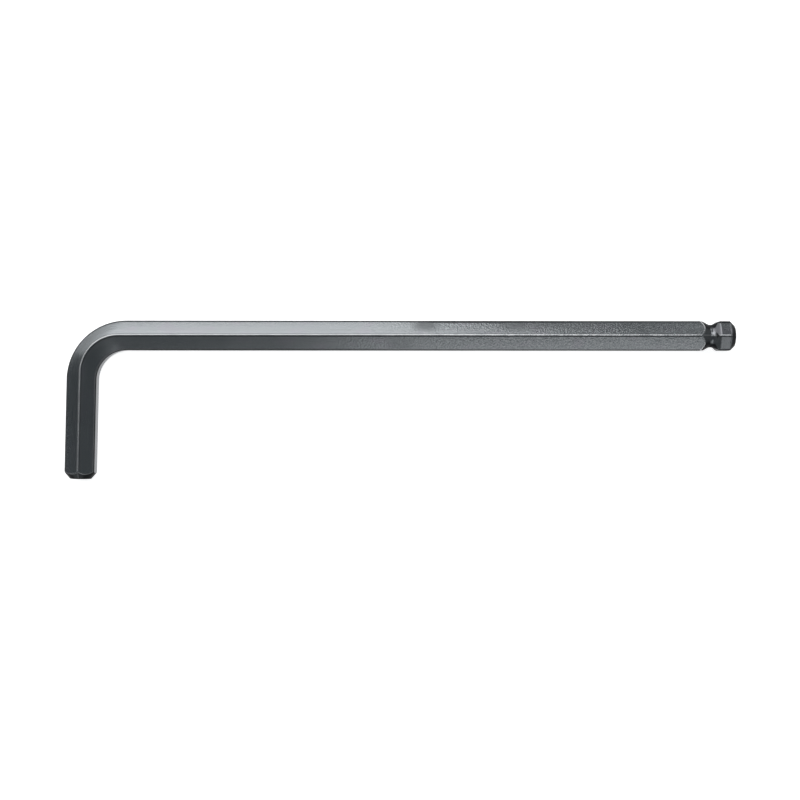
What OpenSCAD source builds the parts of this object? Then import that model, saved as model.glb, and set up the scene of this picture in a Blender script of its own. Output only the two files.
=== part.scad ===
// Hex key: one bar of hexagonal steel with a long arm, a short arm and a ball end.
// The key lies on its lower edge lines, with the long arm along +X and the short arm towards -Y.
// Lengths are in millimetres and angles in degrees.

/* [Bar] */
// Size of the key across two opposite flats
across_flats = 8; // [7.2:0.1:10]
// Rounding radius along the six edges of the bar
edge_r = 0.45; // [0.1:0.05:0.5]

/* [Arms] */
// Length of the long arm, from the outer flat of the short arm to the tip of the ball
long_len = 180; // [60:1:300]
// Length of the short arm, from the outer flat of the long arm to its end face
short_len = 42.5; // [30:0.5:80]
// Angle between the two arms
arm_angle = 91.3; // [80:0.1:100]

/* [Bend] */
// Bend radius of the bar's centre line
bend_r = 12.1; // [8:0.1:16]
// Tighter bend radius of the two side edges, which cold bending pushes outwards
side_edge_bend_r = 10.1; // [8:0.1:16]

/* [Short end] */
// Radius of the flat end face
end_face_r = 2.85; // [1.5:0.05:3.4]
// Slope of the turned chamfer, from the axis of the arm
end_chamfer_angle = 41; // [30:1:60]

/* [Ball tip] */
// Radius of the slightly domed face at the tip
tip_face_r = 2.6; // [1.5:0.05:2.8]
// Radius of that dome
tip_dome_r = 16; // [8:1:40]
// Rounding radius between the dome and the tip's chamfer
tip_round_r = 0.9; // [0.4:0.05:1.2]
// Slope of the turned chamfer at the tip, from the axis of the arm
tip_chamfer_angle = 45; // [35:1:55]

/* [Ball faces] */
// Distance from the tip to where the ball reaches its full width
ball_front_len = 2.2; // [1.9:0.05:3]
// Radius of the faces in front of the full width
ball_front_r = 2.2; // [1.6:0.05:2.6]
// Length of the full width
ball_band_len = 1.9; // [0.5:0.05:4]
// Radius of the faces behind the full width
ball_back_r = 1.7; // [1:0.05:2.4]
// Slope of the faces towards the neck
ball_back_angle = 27.5; // [20:0.5:32]
// Width across the faces where they run out in the neck
ball_neck_flats = 6.1; // [5:0.05:6.3]
// Hollow radius of the faces at the neck
ball_neck_r = 1.3; // [0.8:0.05:1.6]
// Slope of the turned cut that takes the corners off the ball beside the neck
ball_corner_angle = 50; // [40:1:60]

/* [Neck] */
// Diameter of the turned neck
neck_d = 6.2; // [5.2:0.05:6.6]
// Length of the neck's straight bottom
neck_land_len = 0.25; // [0.1:0.05:2]
// Hollow radius at both sides of the neck's bottom
neck_fillet_r = 1.3; // [0.8:0.05:1.6]
// Slope of the shoulder between the neck and the arm
shoulder_angle = 29; // [22:1:45]

/* [Hidden] */
steel = [0.35, 0.37, 0.39];

// Steps of an edge's rounding, of the bend and of the curves at the ball
edge_steps = 4;
bend_steps = 36;
arc_steps = 8;
// Facets of the turned forms in a preview
turned_fn = 96;
// Angles at which the arcs of a milled face start in front of the ball and end behind the neck
face_start_angle = -60;
face_end_angle = 120;

half_flats = across_flats / 2;
corner_r = half_flats / cos(30);
// Distance from the bar's axis to the crest of an edge
crest_r = (half_flats - edge_r) / cos(30) + edge_r;
// Radius that lies clear outside the bar, and one that lies outside the cutters too
clear_r = corner_r + 0.3;
wide_r = clear_r + 1;
// Stock on each end of the bar before it is cut to length
stock = 1;

// Places on the arms are measured from the crossing of their two axes
lean = arm_angle - 90;
turn = 90 - lean;
tip_d = long_len - half_flats;
end_d = short_len - half_flats;

// Length from the crossing to the start of an arc, for each unit of its radius
tangent = tan(turn / 2);

// Distances from the short end at which the chamfer reaches the flats and the clear radius
end_chamfer_len = (half_flats - end_face_r) / tan(end_chamfer_angle);
end_cut_len = (clear_r - end_face_r) / tan(end_chamfer_angle);

// Place of the neck's bottom, measured from the tip
back_arc_s = ball_front_len + ball_band_len + ball_back_r * sin(ball_back_angle);
back_arc_w = half_flats - ball_back_r * (1 - cos(ball_back_angle));
hollow_w = ball_neck_flats / 2 + ball_neck_r * (1 - cos(ball_back_angle));
hollow_s = back_arc_s + (back_arc_w - hollow_w) / tan(ball_back_angle);
neck_s = hollow_s + ball_neck_r * sin(ball_back_angle);
// Distance from the tip at which the shoulder has left the bar
ball_cut_len = neck_s + neck_land_len + (clear_r - neck_d / 2) / tan(shoulder_angle) + neck_fillet_r;

// The key's box before it is centred
box_left = -half_flats * cos(lean) - (end_d - end_chamfer_len) * sin(lean);
box_front = -end_d * cos(lean) - end_face_r * sin(lean);
centre_x = (box_left + tip_d) / 2;
centre_y = (box_front + half_flats) / 2;

// Points of an arc about [cx, cy], from angle a0 to angle a1
function arc(cx, cy, r, a0, a1, steps = arc_steps) =
    [for (i = [0:steps])
        let (a = a0 + (a1 - a0) * i / steps)
            [cx + r * cos(a), cy + r * sin(a)]];

// Section of the bar: one edge up, one edge down and a flat at each side
function bar_section() =
    [for (edge = [0:5])
        let (a = 30 + 60 * edge, d = (half_flats - edge_r) / cos(30))
            each arc(d * cos(a), d * sin(a), edge_r, a - 30, a + 30, edge_steps)];

section = bar_section();
sides = len(section);

// Share of the side edges' tighter arc that a point of the section follows
function side_share(p) =
    let (flat_top = corner_r / 2)
        max(0, (abs(p[1]) - flat_top) / (crest_r - flat_top));

// Point of the section at an angle round the bend, counted from the long arm
function bend_point(p, angle) =
    let (r = bend_r + (side_edge_bend_r - bend_r) * side_share(p))
        [r * tangent - (r + p[0]) * sin(angle), (r + p[0]) * cos(angle) - r, p[1]];

// Point of the section on the long arm, at a distance from the crossing
function long_arm_point(p, d) = [d, p[0], p[1]];

// Point of the section on the short arm, at a distance from the crossing
function short_arm_point(p, d) =
    [-p[0] * cos(lean) - d * sin(lean), p[0] * sin(lean) - d * cos(lean), p[1]];

// Skin through rings of equal length, closed at both ends
module loft(rings) {
    count = len(rings[0]);
    last = len(rings) - 1;
    near_cap = [for (k = [count - 1:-1:0]) k];
    far_cap = [for (k = [0:count - 1]) last * count + k];
    skin = [
        for (i = [0:last - 1])
            for (k = [0:count - 1])
                let (a = i * count + k, b = i * count + (k + 1) % count)
                    each [[a, b, a + count], [b, b + count, a + count]]
    ];
    polyhedron(points = [for (ring = rings) each ring], faces = concat([near_cap, far_cap], skin));
}

// Bent bar, cut square at both ends
module bent_bar() {
    loft([
        [for (p = section) long_arm_point(p, tip_d + stock)],
        for (i = [0:bend_steps]) [for (p = section) bend_point(p, turn * i / bend_steps)],
        [for (p = section) short_arm_point(p, end_d + stock)]
    ]);
}

// Outline [radius, distance from the tip] of what is turned at the ball and neck
function turned_outline() =
    let (
        dome_angle = asin(tip_face_r / tip_dome_r),
        dome_rise = tip_dome_r * (1 - cos(dome_angle)),
        round_x = tip_face_r - tip_round_r * sin(dome_angle),
        round_s = dome_rise + tip_round_r * cos(dome_angle),
        chamfer_r = round_x + tip_round_r * cos(tip_chamfer_angle),
        chamfer_s = round_s - tip_round_r * sin(tip_chamfer_angle),
        hollow_x = neck_d / 2 + neck_fillet_r,
        corner_cut_r = hollow_x - neck_fillet_r * cos(ball_corner_angle),
        corner_cut_s = neck_s - neck_fillet_r * sin(ball_corner_angle),
        shoulder_r = hollow_x - neck_fillet_r * cos(shoulder_angle),
        shoulder_s = neck_s + neck_land_len + neck_fillet_r * sin(shoulder_angle)
    )
    concat(
        arc(0, tip_dome_r, tip_dome_r, -90, dome_angle - 90, edge_steps),
        arc(round_x, round_s, tip_round_r, dome_angle - 90, -tip_chamfer_angle, edge_steps),
        [
            [clear_r, chamfer_s + (clear_r - chamfer_r) / tan(tip_chamfer_angle)],
            [wide_r, chamfer_s + (clear_r - chamfer_r) / tan(tip_chamfer_angle)],
            [wide_r, corner_cut_s - (clear_r - corner_cut_r) / tan(ball_corner_angle)],
            [clear_r, corner_cut_s - (clear_r - corner_cut_r) / tan(ball_corner_angle)]
        ],
        arc(hollow_x, neck_s, neck_fillet_r, 180 + ball_corner_angle, 180),
        arc(hollow_x, neck_s + neck_land_len, neck_fillet_r, 180, 180 - shoulder_angle),
        [
            [wide_r, shoulder_s + (wide_r - shoulder_r) / tan(shoulder_angle)],
            [wide_r, ball_cut_len + stock],
            [0, ball_cut_len + stock]
        ]
    );

// Half outline [half width, distance from the tip] of one pair of milled faces
function face_outline() =
    let (hollow_x = ball_neck_flats / 2 + ball_neck_r)
    concat(
        [[half_flats - ball_front_r * (1 - cos(face_start_angle)), 0]],
        arc(half_flats - ball_front_r, ball_front_len, ball_front_r, face_start_angle, 0),
        arc(half_flats - ball_back_r, ball_front_len + ball_band_len, ball_back_r, 0, ball_back_angle),
        arc(hollow_x, neck_s, ball_neck_r, 180 + ball_back_angle, face_end_angle),
        [[wide_r, neck_s + ball_neck_r], [wide_r, ball_cut_len + stock]]
    );

// Space between one pair of milled faces
module face_pair() {
    half = face_outline();
    mirrored = [for (i = [len(half) - 1:-1:0]) [-half[i][0], half[i][1]]];
    rotate([90, 0, 0])
        linear_extrude(height = 2 * wide_r, center = true)
            polygon(concat(half, mirrored));
}

// Ball, neck and shoulder, standing on the tip, inside the bar's own section
module ball_form() {
    intersection() {
        rotate_extrude($fn = turned_fn) polygon(turned_outline());
        intersection_for(a = [30, 90, 150]) rotate([0, 0, a]) face_pair();
    }
}

// What turning and milling take off the end of the long arm
module ball_waste() {
    difference() {
        translate([0, 0, -2 * stock]) cylinder(h = ball_cut_len + 2 * stock, r = clear_r, $fn = turned_fn);
        ball_form();
    }
}

// What the chamfer takes off the end of the short arm
module end_waste() {
    cone_len = end_cut_len + 2 * stock;
    cone_r = end_face_r + cone_len * tan(end_chamfer_angle);
    difference() {
        translate([0, 0, -2 * stock]) cylinder(h = end_cut_len + 3 * stock, r = clear_r, $fn = turned_fn);
        cylinder(h = cone_len, r1 = end_face_r, r2 = cone_r, $fn = turned_fn);
    }
}

module hex_key() {
    color(steel)
        translate([-centre_x, -centre_y, crest_r])
            difference() {
                bent_bar();
                translate([tip_d, 0, 0]) rotate([0, -90, 0]) ball_waste();
                rotate([0, 0, -lean]) translate([0, -end_d, 0]) rotate([-90, 0, 0]) end_waste();
            }
}

hex_key();
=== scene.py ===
# Hex key with a ball end: one bent and machined bar of dark satin steel on a pale tabletop.
# The bar is drawn straight, turned and milled at its ends, and then bent, as the real one is.
import math

import bmesh
import bpy
from mathutils import Matrix, Vector


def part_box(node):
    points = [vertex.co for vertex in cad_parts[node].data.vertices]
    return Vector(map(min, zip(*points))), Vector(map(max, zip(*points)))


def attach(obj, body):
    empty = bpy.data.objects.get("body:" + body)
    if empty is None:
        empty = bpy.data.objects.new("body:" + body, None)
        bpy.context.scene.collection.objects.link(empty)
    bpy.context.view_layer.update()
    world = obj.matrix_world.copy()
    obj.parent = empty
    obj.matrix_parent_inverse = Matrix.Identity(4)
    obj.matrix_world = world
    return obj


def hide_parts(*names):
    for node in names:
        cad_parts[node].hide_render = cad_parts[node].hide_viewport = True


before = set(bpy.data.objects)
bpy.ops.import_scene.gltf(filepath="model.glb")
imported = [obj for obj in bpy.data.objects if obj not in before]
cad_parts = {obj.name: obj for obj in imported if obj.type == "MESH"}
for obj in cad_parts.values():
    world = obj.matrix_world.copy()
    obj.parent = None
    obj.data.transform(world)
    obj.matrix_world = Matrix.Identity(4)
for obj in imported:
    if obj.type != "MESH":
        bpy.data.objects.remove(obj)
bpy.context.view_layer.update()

_, key_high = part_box("hex_key")

MM = 0.001

# Bar, with the angle between two neighbouring flats
HALF_FLATS = 4 * MM
FLAT_TURN = math.radians(60)
TO_CORNER = HALF_FLATS / math.cos(FLAT_TURN / 2)
EDGE_ROUND = 0.45 * MM
# Facets round each edge, and columns across each flat
EDGE_STEPS = 6
FLAT_COLUMNS = 16
# Drawn flats are very slightly crowned: their sides lie this much lower than their middle
CROWN = 0.035 * MM

# Arms, measured from the crossing of their axes
AXIS_Z = key_high.z / 2
LONG_ARM_Y = key_high.y - HALF_FLATS
LONG_ARM = 176 * MM
SHORT_ARM = 38.5 * MM
LEAN = math.radians(1.3)
CROSSING = Vector((key_high.x - LONG_ARM, LONG_ARM_Y, AXIS_Z))

# Bend, with the tighter radius of the side edges
BEND_TURN = math.pi / 2 - LEAN
BEND_RADIUS = 12.1 * MM
SIDE_EDGE_RADIUS = 10.1 * MM

# Places on the straight bar, before it is bent
BEND_START = BEND_RADIUS * math.tan(BEND_TURN / 2)
BEND_LENGTH = BEND_RADIUS * BEND_TURN
BEND_END = BEND_START - BEND_LENGTH
STRAIGHT_END = BEND_END - (SHORT_ARM - BEND_START)

# Rows of points along the plain stretches of the bar
LONG_ARM_ROWS = 24
BEND_ROWS = 56
SHORT_ARM_ROWS = 6

# Short end, with the stretch that its chamfer needs and the margin of points inside its face
END_FACE_RADIUS = 2.85 * MM
END_CHAMFER = math.radians(41)
CHAMFER_ROOM = 3 * MM
FACE_MARGIN = 0.5 * MM

# Ball tip, with the rows of points round its rounding and across its dome
TIP_FACE_RADIUS = 2.6 * MM
TIP_DOME_RADIUS = 16 * MM
TIP_ROUND = 0.9 * MM
TIP_CHAMFER = math.radians(45)
TIP_ROUND_ROWS = 5
TIP_DOME_ROWS = 5

# Ball faces. The band of full width is given by its distances from the tip
BAND_START = 2.2 * MM
BAND_END = 4.1 * MM
FRONT_FACE_RADIUS = 2.2 * MM
BACK_FACE_RADIUS = 1.7 * MM
BACK_SLOPE = math.radians(27.5)
NECK_FACE_WIDTH = 3.05 * MM
NECK_FACE_RADIUS = 1.3 * MM
NECK_FACE_TURN = math.radians(60)
CORNER_CUT = math.radians(50)

# Neck and shoulder
NECK_RADIUS = 3.1 * MM
NECK_LAND = 0.25 * MM
NECK_FILLET = 1.3 * MM
SHOULDER_SLOPE = math.radians(29)

# Width of the broken edge along each machined line, and distance of the next row from the line
BROKEN_EDGE = 0.13 * MM
LINE_GAP = 0.27 * MM

# Wear of an edge. Its rubbed and bare colours also paint highlight lines along the edges, and a painted
# dark seam lies beside it
UNWORN = 0
RUBBED = 1
SCUFFED = 1.35
BARE = 2

# Share of painted shade in the narrow dark seam beside each rubbed edge, from the inner side edges
# over both sides of the ridge to the outer side edges
SEAM_SHADE = (0, 1, 0.45, 0.85)

# Darkest and lightest tone of the plain steel
DARK_AND_LIGHT = ((0.22, 0.235, 0.245), (0.35, 0.365, 0.375))
# Patches with a faint tint, steel that is rubbed or bare, whose light colours also paint highlights along
# the edges, and the dark colour of the painted shade and stains
TINTED_STEEL = (0.305, 0.29, 0.325, 1)
RUBBED_AND_HIGHLIGHT_STEEL = (0.45, 0.46, 0.47, 1)
BARE_AND_HIGHLIGHT_STEEL = (0.55, 0.56, 0.57, 1)
SHADE_AND_STAIN_DARK = (0.02, 0.021, 0.023, 1)

# Soft dark patches on the drawn skin, partly stains and partly painted shade across the upper faces: place
# along the bar and half length in mm, side of the ridge, and depth
STAINS_AND_SHADE = ((92, 5, 1, 0.36), (116, 7, 1, 0.28), (126, 18, 1, 0.2), (85, 5, -1, 0.12))
# Stretch over which the flecks grow to their full strength, in mm along the bar
FLECKED = (60, 125)

# Material slots of the key: the drawn skin of the bar, and what was turned or milled
DRAWN = 0
MACHINED = 1

# Radii (R), half widths (W) and distances from the tip (S) that follow from those sizes
DOME_ANGLE = math.asin(TIP_FACE_RADIUS / TIP_DOME_RADIUS)
ROUND_CENTRE_R = TIP_FACE_RADIUS - TIP_ROUND * math.sin(DOME_ANGLE)
ROUND_CENTRE_S = TIP_DOME_RADIUS * (1 - math.cos(DOME_ANGLE)) + TIP_ROUND * math.cos(DOME_ANGLE)
CHAMFER_R = ROUND_CENTRE_R + TIP_ROUND * math.cos(TIP_CHAMFER)
CHAMFER_S = ROUND_CENTRE_S - TIP_ROUND * math.sin(TIP_CHAMFER)
TAPER_S = BAND_END + BACK_FACE_RADIUS * math.sin(BACK_SLOPE)
TAPER_W = HALF_FLATS - BACK_FACE_RADIUS * (1 - math.cos(BACK_SLOPE))
HOLLOW_W = NECK_FACE_WIDTH + NECK_FACE_RADIUS * (1 - math.cos(BACK_SLOPE))
HOLLOW_S = TAPER_S + (TAPER_W - HOLLOW_W) / math.tan(BACK_SLOPE)
NECK_S = HOLLOW_S + NECK_FACE_RADIUS * math.sin(BACK_SLOPE)
CORNER_CUT_R = NECK_RADIUS + NECK_FILLET * (1 - math.cos(CORNER_CUT))
CORNER_CUT_S = NECK_S - NECK_FILLET * math.sin(CORNER_CUT)
LAND_END_S = NECK_S + NECK_LAND
SHOULDER_R = NECK_RADIUS + NECK_FILLET * (1 - math.cos(SHOULDER_SLOPE))
SHOULDER_S = LAND_END_S + NECK_FILLET * math.sin(SHOULDER_SLOPE)
HOLLOW_END_S = NECK_S + NECK_FACE_RADIUS * math.sin(NECK_FACE_TURN)
# How far the line behind the ball is sought, and where the bar has its full section again
BACK_LINE_LIMIT_S = 6.3 * MM
PLAIN_BAR_S = 11 * MM

# Camera. The crossing of the arms is given from the middle of the view
PHOTO_SIDE = 800
PIXELS_PER_M = 3714
VIEW_DISTANCE = 400 * MM
CAMERA_TILT = math.radians(1.07)
CROSSING_IN_VIEW = (-85.1 * MM, 17.33 * MM)
SENSOR_MM = 36

# The tabletop runs on to the horizon in low views
FLOOR_REACH = 60
FLOOR_WHITE = (0.85, 0.85, 0.85, 1)
FLOOR_GLOW = 0.87

# Softboxes, all at the same distance from the key: azimuth and elevation in degrees, width and height in
# metres, and radiance. Azimuth 0 is towards +Y and 90 towards +X
LAMP_DISTANCE = 0.7
SOFTBOXES = {
    "back": (-23, 47, 0.72, 0.68, 1.75),
    "left": (-44, 16, 0.58, 0.22, 0.76),
    "high_left": (-72, 62, 0.26, 0.24, 0.75),
    "high": (31, 60, 0.34, 0.42, 1.3),
    "front": (166, 22, 0.36, 0.42, 0.72),
    "fill": (192, 28, 0.4, 0.3, 0.05),
    "right": (33, 16, 0.26, 0.18, 1),
    "front_right": (141, 20, 0.14, 0.14, 0.8),
}
ROOM_GREY = (0.118, 0.13, 0.137, 1)


def turned_radius(s):
    """Radius that the lathe leaves at a distance from the tip, behind the tip's dome and its rounding."""
    chamfer = CHAMFER_R + (s - CHAMFER_S) * math.tan(TIP_CHAMFER)
    if s < CORNER_CUT_S:
        return min(chamfer, CORNER_CUT_R + (CORNER_CUT_S - s) * math.tan(CORNER_CUT))
    if s < NECK_S:
        return NECK_RADIUS + NECK_FILLET - math.sqrt(NECK_FILLET**2 - (NECK_S - s) ** 2)
    if s < LAND_END_S:
        return NECK_RADIUS
    if s < SHOULDER_S:
        return NECK_RADIUS + NECK_FILLET - math.sqrt(NECK_FILLET**2 - (s - LAND_END_S) ** 2)
    return SHOULDER_R + (s - SHOULDER_S) * math.tan(SHOULDER_SLOPE)


def milled_width(s):
    """Half width that the milling leaves between two opposite faces at a distance from the tip."""
    if s < BAND_START:
        return HALF_FLATS - FRONT_FACE_RADIUS + math.sqrt(FRONT_FACE_RADIUS**2 - (BAND_START - s) ** 2)
    if s < BAND_END:
        return HALF_FLATS
    if s < TAPER_S:
        return HALF_FLATS - BACK_FACE_RADIUS + math.sqrt(BACK_FACE_RADIUS**2 - (s - BAND_END) ** 2)
    if s < HOLLOW_S:
        return TAPER_W - (s - TAPER_S) * math.tan(BACK_SLOPE)
    if s < HOLLOW_END_S:
        return NECK_FACE_WIDTH + NECK_FACE_RADIUS - math.sqrt(NECK_FACE_RADIUS**2 - (s - NECK_S) ** 2)
    return TO_CORNER


def across_face(point):
    """Share of a section point's distance from the axis that lies square to its nearest flat."""
    angle = math.atan2(point[1], point[0])
    nearest = round(angle / FLAT_TURN) * FLAT_TURN
    return math.cos(angle - nearest)


def milled_radius(point, s):
    """Distance from the axis to the milled faces or the bar's own skin, towards a section point."""
    return min(math.hypot(*point), milled_width(s) / across_face(point))


def meeting_place(gap, low, high):
    """Distance between low and high at which gap turns from negative to positive, or the nearer end."""
    for _ in range(30):
        middle = (low + high) / 2
        if gap(middle) > 0:
            high = middle
        else:
            low = middle
    return (low + high) / 2


def tip_line(point):
    """Where the turned chamfer of the tip meets the milled faces."""
    return meeting_place(lambda s: turned_radius(s) - milled_radius(point, s), CHAMFER_S, BAND_START)


def back_line(point):
    """Where the cut behind the ball meets the milled faces, as far as the neck."""
    return meeting_place(lambda s: milled_radius(point, s) - turned_radius(s), TAPER_S, BACK_LINE_LIMIT_S)


def shoulder_line(point):
    """Where the shoulder's cone meets the flats and edges of the bar: the scalloped line."""
    return SHOULDER_S + (math.hypot(*point) - SHOULDER_R) / math.tan(SHOULDER_SLOPE)


def end_line(point):
    """Distance from the short end at which its chamfer meets the flats and edges."""
    return (math.hypot(*point) - END_FACE_RADIUS) / math.tan(END_CHAMFER)


def level(s):
    """A line straight round the bar."""
    return lambda point: s


def beside(line, gap):
    """A line that runs at a gap from another one, along the bar."""
    return lambda point: line(point) + gap


def rows_between(first, last, steps):
    """Lines that step evenly from one line round the bar up to the next one, which isn't included."""

    def line(share):
        return lambda point: first(point) + (last(point) - first(point)) * share

    return [line(i / steps) for i in range(steps)]


def bar_section(bm):
    """The bar's section as a ring of edges: one edge up, one down, and a flat at each side."""
    upright = Matrix(((0, 0, 1, 0), (1, 0, 0, 0), (0, 1, 0, 0), (0, 0, 0, 1)))
    ring = bmesh.ops.create_circle(bm, cap_ends=True, segments=6, radius=TO_CORNER, matrix=upright)
    bmesh.ops.bevel(
        bm,
        geom=ring["verts"],
        offset=EDGE_ROUND * math.tan(FLAT_TURN / 2),
        offset_type="OFFSET",
        segments=EDGE_STEPS,
        profile=0.5,
        affect="VERTICES",
        material=-1,
    )
    bmesh.ops.delete(bm, geom=bm.faces[:], context="FACES_ONLY")
    flats = [e for e in bm.edges if e.calc_length() > EDGE_ROUND]
    bmesh.ops.subdivide_edges(bm, edges=flats, cuts=FLAT_COLUMNS - 1)

    # The columns of a flat are wider than the facets of an edge, which are rubbed; the rubbed colour also
    # paints a highlight along each edge
    worn = bm.verts.layers.float["worn"]
    for vert in bm.verts:
        on_flat = all(e.calc_length() > EDGE_ROUND / 2 for e in vert.link_edges)
        vert[worn] = UNWORN if on_flat else RUBBED
    for vert in bm.verts:
        point = vert.co.yz
        across = math.tan(math.acos(across_face(point))) / math.tan(FLAT_TURN / 2)
        vert.co.yz = point * (1 - CROWN * across**2 / point.length)
    return bm.edges[:]


def draw_out(bm, ring, place, finish=DRAWN):
    """Extrudes an open ring and puts each new point at the bar length that place gives for it."""
    made = bmesh.ops.extrude_edge_only(bm, edges=ring)["geom"]
    for face in made:
        if isinstance(face, bmesh.types.BMFace):
            face.material_index = finish
    ring = [e for e in made if isinstance(e, bmesh.types.BMEdge) and e.is_boundary]
    points = {v for e in ring for v in e.verts}
    for vert in points:
        vert.co.x = place(vert.co.yz)
    return ring, points


def row_edges(points):
    """Edges that run round the bar through the points of one row."""
    return [e for v in points for e in v.link_edges if e.other_vert(v) in points and e.verts[0] == v]


def plain_rows(bm, ring, start, end, rows):
    """Draws plain bar in even rows from one bar length to another."""
    points = set()
    for i in range(1, rows + 1):
        x = start + (end - start) * i / rows
        ring, row = draw_out(bm, ring, lambda yz, x=x: x)
        points |= row
    return ring, points


def cut_rows(bm, ring, lines, place, first_cut):
    """Draws a row along each line, where place puts it on the bar. Past the first cut all is machined."""
    rows = {}
    finish = DRAWN
    for line in lines:
        ring, rows[line] = draw_out(bm, ring, lambda yz, line=line: place(line(yz)), finish)
        if line is first_cut:
            finish = MACHINED
    return ring, rows


def bring_in(rows, radius_at):
    """Moves the points of some rows in to the radius that radius_at gives for each of them."""
    for row in rows:
        for vert in row:
            point = vert.co.yz
            vert.co.yz = point * (radius_at(point, vert.co.x) / point.length)


def tip_profile():
    """Radii and distances from the tip of the turned rows past the tip's chamfer."""
    profile = []
    for i in range(1, TIP_ROUND_ROWS + 1):
        angle = TIP_CHAMFER + (math.pi / 2 - DOME_ANGLE - TIP_CHAMFER) * i / TIP_ROUND_ROWS
        radius = ROUND_CENTRE_R + TIP_ROUND * math.cos(angle)
        profile.append((radius, ROUND_CENTRE_S - TIP_ROUND * math.sin(angle)))
    for i in range(TIP_DOME_ROWS - 1, 0, -1):
        radius = TIP_FACE_RADIUS * i / TIP_DOME_ROWS
        profile.append((radius, TIP_DOME_RADIUS - math.sqrt(TIP_DOME_RADIUS**2 - radius**2)))
    return profile


def ball_radius(point, x):
    """Radius that is left at the ball end towards a section point, at a bar length."""
    s = LONG_ARM - x
    if s < PLAIN_BAR_S:
        return min(milled_radius(point, s), turned_radius(s))
    return point.length


def chamfer_radius(point, x):
    """Radius that is left at the short end towards a section point, at a bar length."""
    cone = END_FACE_RADIUS + (x - STRAIGHT_END) * math.tan(END_CHAMFER)
    return min(cone, point.length)


def ball_end(bm, ring):
    """Turns and mills the end of the long arm. Gives its sharp lines with their wear, whose bare colour
    also paints a highlight along the shoulder's line.
    """
    lines = (
        rows_between(level(PLAIN_BAR_S), beside(shoulder_line, LINE_GAP), 4)[1:]
        + [beside(shoulder_line, LINE_GAP), shoulder_line]
        + rows_between(beside(shoulder_line, -LINE_GAP), level(SHOULDER_S), 8)
        + rows_between(level(SHOULDER_S), back_line, 26)
        + rows_between(back_line, level(TAPER_S), 5)
        + rows_between(level(TAPER_S), level(BAND_END), 6)
        + rows_between(level(BAND_END), level(BAND_START), 4)
        + rows_between(level(BAND_START), beside(tip_line, LINE_GAP), 8)
        + [beside(tip_line, LINE_GAP), tip_line]
        + rows_between(beside(tip_line, -LINE_GAP), level(CHAMFER_S), 6)
        + [level(CHAMFER_S)]
    )
    ring, rows = cut_rows(bm, ring, lines, lambda s: LONG_ARM - s, shoulder_line)
    turned = []
    for radius, s in tip_profile():
        ring, row = draw_out(bm, ring, lambda yz, s=s: LONG_ARM - s, MACHINED)
        turned.append((row, radius))
    bring_in(rows.values(), ball_radius)
    for row, radius in turned:
        bring_in([row], lambda point, x, radius=radius: radius)
    cap = bmesh.ops.contextual_create(bm, geom=ring, mat_nr=MACHINED)["faces"]
    centre = bmesh.ops.poke(bm, faces=cap)["verts"][0]
    centre.co = (LONG_ARM, 0, 0)
    return [(rows[shoulder_line], BARE), (rows[tip_line], UNWORN)]


def short_end(bm, ring):
    """Turns the chamfer of the short arm. Gives its sharp lines with their wear."""
    face_rim = level(0)
    lines = (
        rows_between(level(CHAMFER_ROOM), beside(end_line, LINE_GAP), 4)[1:]
        + [beside(end_line, LINE_GAP), end_line]
        + rows_between(beside(end_line, -LINE_GAP), face_rim, 5)
        + [face_rim]
    )
    ring, rows = cut_rows(bm, ring, lines, lambda s: STRAIGHT_END + s, end_line)
    bring_in(rows.values(), chamfer_radius)
    face = bmesh.ops.contextual_create(bm, geom=ring, mat_nr=MACHINED)["faces"]
    bmesh.ops.inset_region(bm, faces=face, thickness=FACE_MARGIN, use_even_offset=True)
    return [(rows[end_line], SCUFFED), (rows[face_rim], UNWORN)]


def straight_bar(bm):
    """Draws the whole bar straight, from the start of its bend towards both ends."""
    section = bar_section(bm)
    for vert in bm.verts:
        vert.co.x = BEND_START
    bend_points = set(bm.verts)
    ring, _ = plain_rows(bm, section, BEND_START, LONG_ARM - PLAIN_BAR_S, LONG_ARM_ROWS)
    creases = ball_end(bm, ring)
    ring, bent = plain_rows(bm, section, BEND_START, BEND_END, BEND_ROWS)
    bend_points |= bent
    ring, _ = plain_rows(bm, ring, BEND_END, STRAIGHT_END + CHAMFER_ROOM, SHORT_ARM_ROWS)
    creases += short_end(bm, ring)
    return creases, bend_points


def break_edges(bm, creases):
    """Takes the sharpness off the machined lines and marks their wear."""
    worn = bm.verts.layers.float["worn"]
    for row, wear in creases:
        made = bmesh.ops.bevel(
            bm,
            geom=row_edges(row),
            offset=BROKEN_EDGE,
            offset_type="OFFSET",
            segments=4,
            profile=0.5,
            affect="EDGES",
            material=-1,
        )
        for vert in made["verts"]:
            vert[worn] = max(vert[worn], wear)


def bend_bar(bm, bend_points):
    """Bends the straight bar at the crossing. The side edges follow a tighter curve than the rest."""
    flat_top = TO_CORNER / 2
    crest = max(v.co.z for v in bend_points)
    tangent = math.tan(BEND_TURN / 2)
    for vert in bm.verts:
        length, y, z = vert.co
        past = BEND_START - length
        if past < 0 and vert not in bend_points:
            continue
        angle = min(past / BEND_LENGTH, 1) * BEND_TURN
        beyond = max(past - BEND_LENGTH, 0)
        out = Vector((math.sin(angle), math.cos(angle)))
        place = Vector((BEND_START, -BEND_RADIUS)) + Vector((-out.x, out.y)) * (BEND_RADIUS + y)
        place -= Vector((math.sin(LEAN), math.cos(LEAN))) * beyond
        if vert in bend_points:
            share = max(0, (abs(z) - flat_top) / (crest - flat_top))
            slip = (SIDE_EDGE_RADIUS - BEND_RADIUS) * share
            place += Vector((tangent - out.x, out.y - 1)) * slip
        vert.co.xy = place


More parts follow.
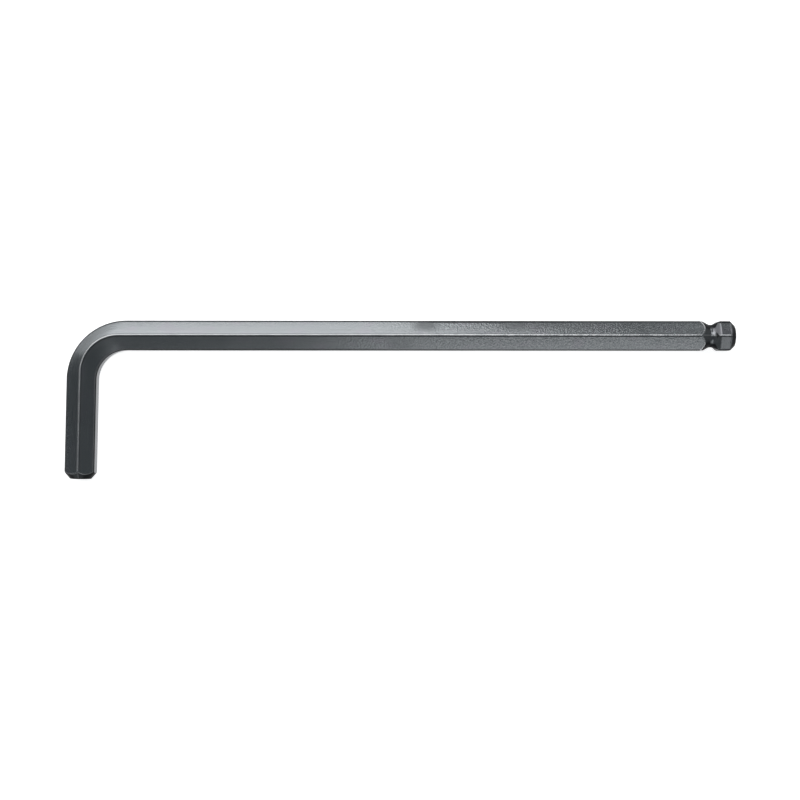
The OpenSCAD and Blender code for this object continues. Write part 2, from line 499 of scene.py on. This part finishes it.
def hex_key_bar():
    """The whole key as one closed mesh in the row frame."""
    bm = bmesh.new()
    bm.verts.layers.float.new("worn")
    along = bm.verts.layers.float_vector.new("along_bar")
    creases, bend_points = straight_bar(bm)
    break_edges(bm, creases)
    for vert in bm.verts:
        vert[along] = vert.co
    bend_bar(bm, bend_points)
    bmesh.ops.translate(bm, verts=bm.verts, vec=CROSSING)
    bmesh.ops.recalc_face_normals(bm, faces=bm.faces)
    for face in bm.faces:
        face.smooth = True
    mesh = bpy.data.meshes.new("bent_bar")
    bm.to_mesh(mesh)
    bm.free()
    piece = bpy.data.objects.new("bent_bar", mesh)
    bpy.context.scene.collection.objects.link(piece)
    return piece


def feed(tree, socket, value):
    """Links a socket to another one, or gives it a plain value."""
    if isinstance(value, bpy.types.NodeSocket):
        tree.links.new(value, socket)
    else:
        socket.default_value = value


def calc(tree, operation, *values):
    """A Math node on sockets or numbers."""
    node = tree.nodes.new("ShaderNodeMath")
    node.operation = operation
    for socket, value in zip(node.inputs, values):
        feed(tree, socket, value)
    return node.outputs[0]


def remap(tree, value, low, high, to_low=0, to_high=1):
    """Smooth step of a value from one range to another."""
    node = tree.nodes.new("ShaderNodeMapRange")
    node.interpolation_type = "SMOOTHSTEP"
    labels = ("Value", "From Min", "From Max", "To Min", "To Max")
    for label, part in zip(labels, (value, low, high, to_low, to_high)):
        feed(tree, node.inputs[label], part)
    return node.outputs["Result"]


def blend(tree, share, first, second):
    """Mixes two colours."""
    node = tree.nodes.new("ShaderNodeMix")
    node.data_type = "RGBA"
    feed(tree, node.inputs["Factor"], share)
    feed(tree, node.inputs["A"], first)
    feed(tree, node.inputs["B"], second)
    return node.outputs["Result"]


def noise(tree, vector, per_mm, detail=2, stretch=(1, 1, 1)):
    """Noise with a number of features to the millimetre, on coordinates in millimetres."""
    scaled = tree.nodes.new("ShaderNodeVectorMath")
    scaled.operation = "MULTIPLY"
    feed(tree, scaled.inputs[0], vector)
    scaled.inputs[1].default_value = stretch
    node = tree.nodes.new("ShaderNodeTexNoise")
    tree.links.new(scaled.outputs[0], node.inputs["Vector"])
    node.inputs["Scale"].default_value = per_mm
    node.inputs["Detail"].default_value = detail
    return node.outputs["Fac"]


def group(name, inputs, outputs):
    """A shader node group with named sockets: pairs of a name and a default, and names with a kind."""
    tree = bpy.data.node_groups.new(name, "ShaderNodeTree")
    for label, value in inputs:
        socket = tree.interface.new_socket(label, in_out="INPUT", socket_type="NodeSocketFloat")
        socket.default_value = value
    for label, kind in outputs:
        tree.interface.new_socket(label, in_out="OUTPUT", socket_type=kind)
    return tree, tree.nodes.new("NodeGroupInput"), tree.nodes.new("NodeGroupOutput")


def bar_coordinates(tree):
    """Place on the straight bar in millimetres, before it was bent: X runs along it."""
    along = tree.nodes.new("ShaderNodeAttribute")
    along.attribute_name = "along_bar"
    in_mm = tree.nodes.new("ShaderNodeVectorMath")
    in_mm.operation = "SCALE"
    in_mm.inputs["Scale"].default_value = 1 / MM
    tree.links.new(along.outputs["Vector"], in_mm.inputs[0])
    return in_mm.outputs[0]


def parts_of(tree, vector):
    """The three parts of a vector."""
    split = tree.nodes.new("ShaderNodeSeparateXYZ")
    tree.links.new(vector, split.inputs[0])
    return split.outputs


def side_shade(tree, along, across, height):
    """Painted shade beside the side edges, by a share that changes along the bar, and on the inner flat.
    """
    narrow = calc(tree, "MULTIPLY", remap(tree, across, 3.5, 3.75), 0.5)
    broad = calc(tree, "ADD", remap(tree, along, 84, 94, 0, 0.9), remap(tree, along, 126, 138, 0, -0.3))
    broad = calc(tree, "ADD", broad, remap(tree, along, 168, 170, 0, 0.4))
    broad = calc(tree, "MULTIPLY", broad, remap(tree, across, 3.2, 3.6))
    outer = calc(tree, "MAXIMUM", narrow, broad)
    inner = calc(tree, "ADD", remap(tree, along, 40, 110, 0.6, 0.1), remap(tree, along, 166, 168, 0, 0.8))
    inner = calc(tree, "MULTIPLY", inner, remap(tree, across, -3.75, -3.4, 1, 0))
    off_flats = remap(tree, calc(tree, "ABSOLUTE", height), 1.95, 2.2)
    edges = calc(tree, "MULTIPLY", calc(tree, "MAXIMUM", outer, inner), off_flats)
    inner_flat = remap(tree, across, -3.95, -3.88, 0.75, 0)
    inner_flat = calc(tree, "MULTIPLY", inner_flat, remap(tree, along, 12, 20))
    return calc(tree, "MAXIMUM", edges, inner_flat)


def surface_masks():
    """Group for both steels: where an edge is rubbed bright or bare, which also paints highlights along
    the edges, and where painted shade darkens the steel: seams, side edges and steep faces.
    """
    tree, given, out = group(
        "edge_wear_highlight_and_shade",
        [("Shade Everywhere", 0), ("Shade Slope", 0.86)],
        [("Burnish And Highlight", "NodeSocketFloat"), ("Bare And Highlight", "NodeSocketFloat"), ("Painted Shade", "NodeSocketFloat")],
    )
    place = bar_coordinates(tree)
    along, across, height = parts_of(tree, place)
    attribute = tree.nodes.new("ShaderNodeAttribute")
    attribute.attribute_name = "worn"
    wear = attribute.outputs["Fac"]
    shade_all_over = given.outputs["Shade Everywhere"]

    # Painted shade darkens faces steeper than this slope: rubbed edges, and every face of the machined
    # steel. On machined faces the slope differs by place
    at_tip = remap(tree, along, LONG_ARM / MM - 2, LONG_ARM / MM - 1.2, 0, 0.09)
    at_shoulder = remap(tree, along, LONG_ARM / MM - 7.4, LONG_ARM / MM - 7, 0.09, 0)
    at_end = remap(tree, along, STRAIGHT_END / MM + 3, STRAIGHT_END / MM + 4, -0.05, 0)
    at_ends = calc(tree, "ADD", calc(tree, "ADD", at_tip, at_shoulder), at_end)
    shade_from_slope = calc(tree, "ADD", given.outputs["Shade Slope"], calc(tree, "MULTIPLY", at_ends, shade_all_over))
    geometry = tree.nodes.new("ShaderNodeNewGeometry")
    _, _, upward = parts_of(tree, geometry.outputs["Normal"])
    steep_shade = remap(tree, calc(tree, "ABSOLUTE", upward), calc(tree, "SUBTRACT", shade_from_slope, 0.3), shade_from_slope, 1, 0)
    steep_face_shade = calc(tree, "MULTIPLY", steep_shade, calc(tree, "MAXIMUM", wear, shade_all_over))

    # Painted shade: a dark seam where the wear fades out beside a rubbed edge, and its share differs
    # across the bar
    inner, below, above, outer = SEAM_SHADE
    share = remap(tree, across, -3.2, -2.8, inner, below)
    share = calc(tree, "ADD", share, remap(tree, across, 0, 0.2, 0, above - below))
    share = calc(tree, "ADD", share, remap(tree, across, 2.8, 3.2, 0, outer - above))
    seam_shade = calc(tree, "MULTIPLY", share, remap(tree, wear, UNWORN, 0.3))
    seam_shade = calc(tree, "MULTIPLY", seam_shade, remap(tree, wear, 0.8, RUBBED, 1, 0))

    # Painted shade from the seams, the side edges and the steep faces, kept off the bare edges
    left = calc(tree, "MAXIMUM", seam_shade, side_shade(tree, along, across, height))
    left = calc(tree, "MAXIMUM", steep_face_shade, left)
    shade_kept = remap(tree, wear, RUBBED, BARE, 1, 0)
    tree.links.new(calc(tree, "MULTIPLY", left, shade_kept), out.inputs["Painted Shade"])
    # Burnish is wear that also paints the highlight lines along the rubbed edges
    patchy = remap(tree, noise(tree, place, 0.9, 3, (0.35, 1, 1)), 0.3, 0.62, 0.6, 1)
    tree.links.new(calc(tree, "MULTIPLY", wear, patchy), out.inputs["Burnish And Highlight"])
    tree.links.new(remap(tree, wear, RUBBED, BARE), out.inputs["Bare And Highlight"])
    return tree


def steel(name, masks, pattern, shade_everywhere, shade_slope, shade, roughness, bump_height):
    """A metal whose colour, roughness and relief come from a pattern and from the masks."""
    dark, light = (tuple(shade * part for part in tone) + (1,) for tone in DARK_AND_LIGHT)
    material = bpy.data.materials.new(name)
    material.use_nodes = True
    tree = material.node_tree
    shader = tree.nodes["Principled BSDF"]
    shader.inputs["Specular Tint"].default_value = (0.6, 0.6, 0.6, 1)
    shader.inputs["Specular IOR Level"].default_value = 0.02
    place = bar_coordinates(tree)
    tone, relief, dull, stain_and_shade = pattern(tree, place)
    edges = tree.nodes.new("ShaderNodeGroup")
    edges.node_tree = masks
    edges.inputs["Shade Everywhere"].default_value = shade_everywhere
    edges.inputs["Shade Slope"].default_value = shade_slope
    # Painted shade and stains turn the steel dark and non-metallic
    shade_and_stain = calc(tree, "MAXIMUM", edges.outputs["Painted Shade"], stain_and_shade)
    plain = blend(tree, tone, dark, light)
    patches = remap(tree, noise(tree, place, 0.3, 2, (0.5, 1, 1)), 0.5, 0.7, 0, 0.4)
    tinted = blend(tree, patches, plain, TINTED_STEEL)
    # Rubbed and bare colours also paint highlights along the edges
    rubbed_and_highlit = blend(tree, edges.outputs["Burnish And Highlight"], tinted, RUBBED_AND_HIGHLIGHT_STEEL)
    bare_and_highlit = blend(tree, edges.outputs["Bare And Highlight"], rubbed_and_highlit, BARE_AND_HIGHLIGHT_STEEL)
    tree.links.new(blend(tree, shade_and_stain, bare_and_highlit, SHADE_AND_STAIN_DARK), shader.inputs["Base Color"])
    tree.links.new(calc(tree, "SUBTRACT", 1, shade_and_stain), shader.inputs["Metallic"])
    tree.links.new(remap(tree, dull, 0, 1, roughness - 0.04, roughness + 0.05), shader.inputs["Roughness"])
    bump = tree.nodes.new("ShaderNodeBump")
    bump.inputs["Strength"].default_value = 1
    bump.inputs["Distance"].default_value = bump_height
    tree.links.new(relief, bump.inputs["Height"])
    tree.links.new(bump.outputs["Normal"], shader.inputs["Normal"])
    return material


def drawn_pattern(tree, place):
    """Drawn skin: fine flecks, which grow stronger away from the bend, streaks and a few soft dark
    patches, partly stains and partly painted shade.
    """
    along, across, height = parts_of(tree, place)
    strength = remap(tree, along, *FLECKED, 0.3, 1.25)
    flecks = calc(tree, "SUBTRACT", noise(tree, place, 2.2, 2), 0.5)
    flecks = calc(tree, "MULTIPLY", flecks, strength)
    streaks = noise(tree, place, 1.6, 3, (0.05, 1, 1))
    clouds = noise(tree, place, 0.12, 3, (0.6, 1.6, 1.6))
    tone = calc(tree, "ADD", calc(tree, "MULTIPLY", flecks, 2), calc(tree, "MULTIPLY", streaks, 0.4))
    tone = calc(tree, "ADD", tone, calc(tree, "MULTIPLY", clouds, 0.6))
    relief = calc(tree, "ADD", flecks, calc(tree, "MULTIPLY", streaks, 0.1))
    stain_and_shade = 0
    # Patches that darken towards the side edges of the upper faces: partly stains, partly painted shade
    for centre, half, side, depth in STAINS_AND_SHADE:
        apart = calc(tree, "ABSOLUTE", calc(tree, "SUBTRACT", along, centre))
        lengthways = remap(tree, apart, 0.2 * half, half, depth, 0)
        sideways = remap(tree, calc(tree, "MULTIPLY", across, side), 0.2, 2.6)
        stain_and_shade = calc(tree, "MAXIMUM", stain_and_shade, calc(tree, "MULTIPLY", lengthways, sideways))
    return tone, relief, clouds, calc(tree, "MULTIPLY", stain_and_shade, remap(tree, height, 0, 1))


def machined_pattern(tree, place):
    """Turned and milled faces: fine tool marks round the bar, with flecks."""
    flecks = noise(tree, place, 2.6, 2)
    marks = noise(tree, place, 4, 2, (1, 0.06, 0.06))
    tone = calc(tree, "ADD", calc(tree, "MULTIPLY", flecks, 0.3), calc(tree, "MULTIPLY", marks, 0.7))
    return tone, calc(tree, "ADD", marks, calc(tree, "MULTIPLY", flecks, 0.4)), flecks, 0


def dark_steels():
    """The key's two materials: drawn and machined dark steel."""
    masks = surface_masks()
    # Painted shade darkens the steep rubbed edges of the drawn steel and every steep face of the machined
    # steel
    drawn = steel(
        "drawn_steel",
        masks,
        drawn_pattern,
        shade_everywhere=0,
        shade_slope=0.95,
        shade=1,
        roughness=0.23,
        bump_height=0.05 * MM,
    )
    machined = steel(
        "machined_steel",
        masks,
        machined_pattern,
        shade_everywhere=1,
        shade_slope=0.9,
        shade=0.78,
        roughness=0.22,
        bump_height=0.03 * MM,
    )
    return drawn, machined


def pale_floor():
    """A plain white tabletop that keeps the key's soft shadow."""
    bm = bmesh.new()
    bmesh.ops.create_grid(bm, x_segments=1, y_segments=1, size=FLOOR_REACH)
    mesh = bpy.data.meshes.new("floor")
    bm.to_mesh(mesh)
    bm.free()
    floor = bpy.data.objects.new("floor", mesh)
    bpy.context.scene.collection.objects.link(floor)
    material = bpy.data.materials.new("floor_white")
    material.use_nodes = True
    tree = material.node_tree
    shader = tree.nodes["Principled BSDF"]
    shader.inputs["Base Color"].default_value = FLOOR_WHITE
    shader.inputs["Roughness"].default_value = 0.8
    shader.inputs["Specular IOR Level"].default_value = 0
    shader.inputs["Emission Color"].default_value = (1, 1, 1, 1)
    rays = tree.nodes.new("ShaderNodeLightPath").outputs
    seen = calc(tree, "MAXIMUM", rays["Is Camera Ray"], rays["Is Glossy Ray"])
    seen = calc(tree, "MAXIMUM", seen, rays["Is Transmission Ray"])
    tree.links.new(calc(tree, "MULTIPLY", seen, FLOOR_GLOW), shader.inputs["Emission Strength"])
    mesh.materials.append(material)


def softbox(name, azimuth, elevation, width, height, radiance):
    """A rectangular lamp that faces the key."""
    lamp = bpy.data.lights.new(name, "AREA")
    lamp.shape = "RECTANGLE"
    lamp.size = width
    lamp.size_y = height
    lamp.energy = radiance * math.pi * width * height
    a, e = math.radians(azimuth), math.radians(elevation)
    towards = Vector((math.sin(a) * math.cos(e), math.cos(a) * math.cos(e), math.sin(e)))
    placed = bpy.data.objects.new(name, lamp)
    placed.location = towards * LAMP_DISTANCE
    placed.rotation_mode = "QUATERNION"
    placed.rotation_quaternion = towards.to_track_quat("Z", "Y")
    bpy.context.scene.collection.objects.link(placed)


def camera():
    """Looks down on the key, with the slight tilt that the photograph shows."""
    data = bpy.data.cameras.new("camera")
    data.sensor_width = SENSOR_MM
    data.lens = PIXELS_PER_M * VIEW_DISTANCE / PHOTO_SIDE * SENSOR_MM
    data.clip_start = 10 * MM
    data.clip_end = 2 * FLOOR_REACH
    placed = bpy.data.objects.new("camera", data)
    back = Matrix.Rotation(-CAMERA_TILT, 3, "Y")
    offset = Vector((*CROSSING_IN_VIEW, -VIEW_DISTANCE))
    placed.matrix_world = Matrix.Translation(CROSSING - back @ offset) @ back.to_4x4()
    bpy.context.scene.collection.objects.link(placed)
    bpy.context.scene.camera = placed


def studio():
    """Soft light: a broad softbox behind the long arm, smaller ones round the key, and a dim grey room."""
    scene = bpy.context.scene
    scene.view_settings.view_transform = "Standard"
    world = bpy.data.worlds.new("room")
    world.use_nodes = True
    background = world.node_tree.nodes["Background"]
    background.inputs["Color"].default_value = ROOM_GREY
    background.inputs["Strength"].default_value = 1
    scene.world = world
    for name, placing in SOFTBOXES.items():
        softbox("softbox_" + name, *placing)


key = hex_key_bar()
for material in dark_steels():
    key.data.materials.append(material)
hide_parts("hex_key")
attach(key, "root")
pale_floor()
camera()
studio()
